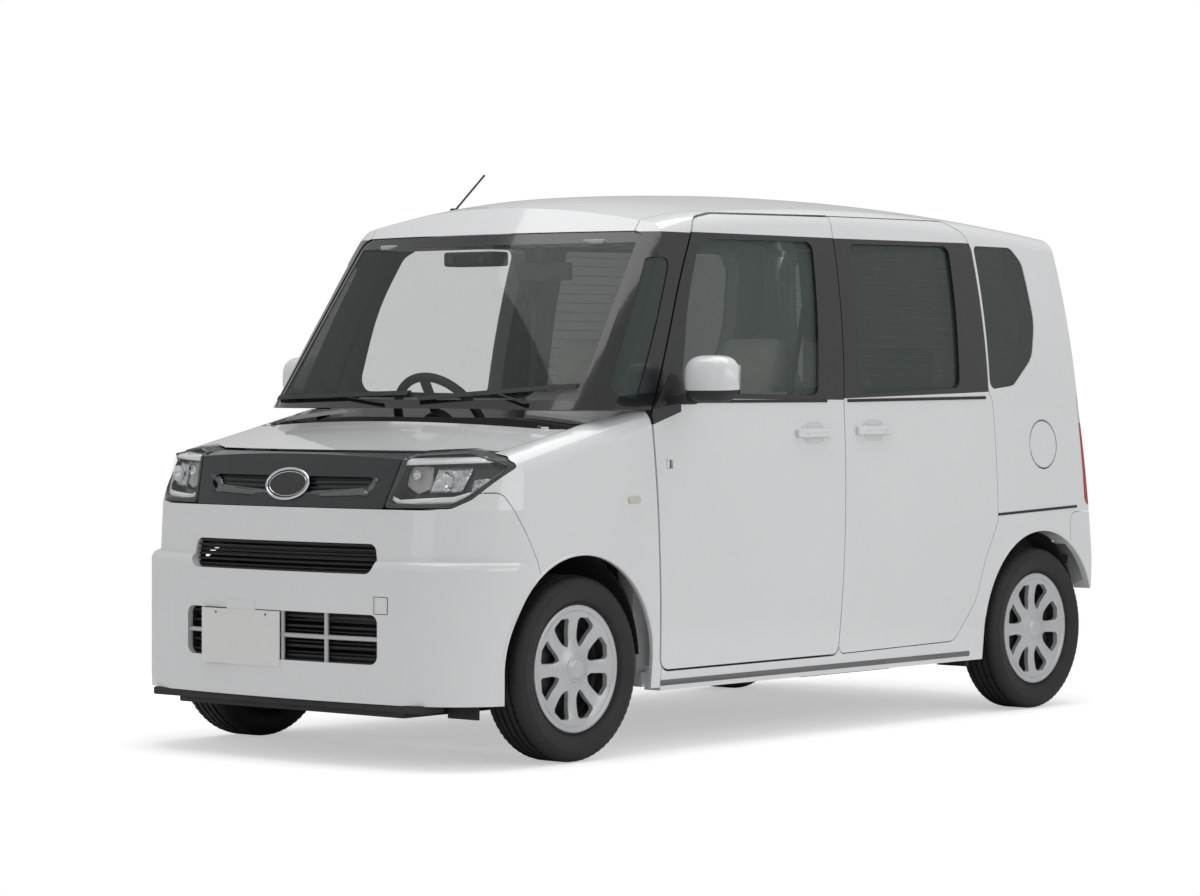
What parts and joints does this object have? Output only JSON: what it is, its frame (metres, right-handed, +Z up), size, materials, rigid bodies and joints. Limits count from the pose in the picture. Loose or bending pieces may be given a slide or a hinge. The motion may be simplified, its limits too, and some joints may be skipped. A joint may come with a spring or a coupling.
{
  "type": "kei car",
  "caption": "Very small tall wagon with hinged front doors, sliding rear doors, a lifting tailgate, an opening bonnet and steered front wheels.",
  "frame": {"origin": "on the ground, midway between the nose and the tail and between the two sides", "axes": "+X forward, +Y to the car's left, +Z up"},
  "size_m": [3.395, 1.88, 1.8216],
  "materials": {
    "body_paint": "gloss",
    "black_trim": "gloss",
    "dark_plastic": "matte",
    "privacy_glass": "gloss",
    "clear_glass": "gloss",
    "lamp_clear": "gloss",
    "lamp_red": "gloss",
    "grille_satin": "satin",
    "steel": "satin",
    "iron": "matte",
    "tyre_rubber": "matte",
    "wheel_silver": "satin",
    "seat_fabric": "matte",
    "interior_plastic": "matte",
    "plate_white": "satin"
  },
  "bodies": {
    "body": {"body_sides": "body_paint", "windscreen_pillars": "black_trim", "quarter_windows": "privacy_glass", "roof_panel": "body_paint", "sliding_doors": "body_paint", "sliding_door_windows": "privacy_glass", "front_fenders": "body_paint", "front_bumper": "body_paint", "lower_grille": "dark_plastic", "front_grille": "grille_satin", "headlamps": "dark_plastic", "headlamp_covers": "lamp_clear", "windscreen": "clear_glass", "tail_lamps": "lamp_red", "rear_bumper": "body_paint", "antenna": "dark_plastic", "wipers": "dark_plastic", "floor_pan": "steel", "firewall": "steel", "front_wheelhouses": "dark_plastic", "rear_wheelhouses": "dark_plastic", "front_frame": "steel", "engine_block": "iron", "fuel_tank": "dark_plastic", "exhaust": "steel", "rear_axle": "iron", "front_suspension": "iron", "dashboard": "interior_plastic", "front_seats": "seat_fabric", "rear_seat": "seat_fabric", "seat_frames": "interior_plastic", "b_pillar": "interior_plastic", "number_plate": "plate_white"},
    "front_door_left": {"front_door_left": "body_paint", "front_window_left": "clear_glass", "mirror_left": "body_paint"},
    "front_door_right": {"front_door_right": "body_paint", "front_window_right": "clear_glass", "mirror_right": "body_paint"},
    "bonnet": {"bonnet": "body_paint"},
    "tailgate": {"tailgate": "body_paint", "rear_window": "privacy_glass"},
    "fuel_lid": {"fuel_lid": "body_paint"},
    "steering_wheel": {"steering_wheel": "interior_plastic"},
    "knuckle_left": {"knuckle_left": "iron"},
    "knuckle_right": {"knuckle_right": "iron"},
    "wheel_front_left": {"tyre_front_left": "tyre_rubber", "rim_front_left": "wheel_silver"},
    "wheel_front_right": {"tyre_front_right": "tyre_rubber", "rim_front_right": "wheel_silver"},
    "wheel_rear_left": {"tyre_rear_left": "tyre_rubber", "rim_rear_left": "wheel_silver"},
    "wheel_rear_right": {"tyre_rear_right": "tyre_rubber", "rim_rear_right": "wheel_silver"}
  },
  "joints": [
    {"name": "front_door_left_hinge", "type": "hinge", "parent": "body", "child": "front_door_left", "pos_m": [0.728, 0.716, 0.64], "axis": [0, 0, -1], "range_deg": [0, 80]},
    {"name": "front_door_right_hinge", "type": "hinge", "parent": "body", "child": "front_door_right", "pos_m": [0.728, -0.716, 0.64], "axis": [0, 0, 1], "range_deg": [0, 80]},
    {"name": "bonnet_hinge", "type": "hinge", "parent": "body", "child": "bonnet", "pos_m": [1.14, 0, 0.992], "axis": [0, -1, 0], "range_deg": [0, 50]},
    {"name": "tailgate_hinge", "type": "hinge", "parent": "body", "child": "tailgate", "pos_m": [-1.4, 0, 1.622], "axis": [0, 1, 0], "range_deg": [0, 80]},
    {"name": "fuel_lid_hinge", "type": "hinge", "parent": "body", "child": "fuel_lid", "pos_m": [-1.258, 0.723, 0.916], "axis": [0, 0, -1], "range_deg": [0, 90]},
    {"name": "steering_left", "type": "hinge", "parent": "body", "child": "knuckle_left", "pos_m": [1.1415, 0.6, 0.168], "axis": [0, -0.2081, 0.9781], "range_deg": [-35, 35]},
    {"name": "steering_right", "type": "hinge", "parent": "body", "child": "knuckle_right", "pos_m": [1.1415, -0.6, 0.168], "axis": [0, 0.2081, 0.9781], "range_deg": [-35, 35]},
    {"name": "steering_wheel_turn", "type": "hinge", "parent": "body", "child": "steering_wheel", "pos_m": [0.575, -0.35, 0.985], "axis": [-0.8829, 0, 0.4695], "range_deg": [-490, 490]},
    {"name": "wheel_front_left_spin", "type": "hinge", "parent": "knuckle_left", "child": "wheel_front_left", "pos_m": [1.1415, 0.645, 0.2785], "axis": [0, 1, 0], "continuous": true},
    {"name": "wheel_front_right_spin", "type": "hinge", "parent": "knuckle_right", "child": "wheel_front_right", "pos_m": [1.1415, -0.645, 0.2785], "axis": [0, 1, 0], "continuous": true},
    {"name": "wheel_rear_left_spin", "type": "hinge", "parent": "body", "child": "wheel_rear_left", "pos_m": [-1.3185, 0.645, 0.2785], "axis": [0, 1, 0], "continuous": true},
    {"name": "wheel_rear_right_spin", "type": "hinge", "parent": "body", "child": "wheel_rear_right", "pos_m": [-1.3185, -0.645, 0.2785], "axis": [0, 1, 0], "continuous": true}
  ],
  "couplings": [
    {"joint": "steering_right", "follows": "steering_left", "ratio": 1},
    {"joint": "steering_wheel_turn", "follows": "steering_left", "ratio": 14}
  ]
}
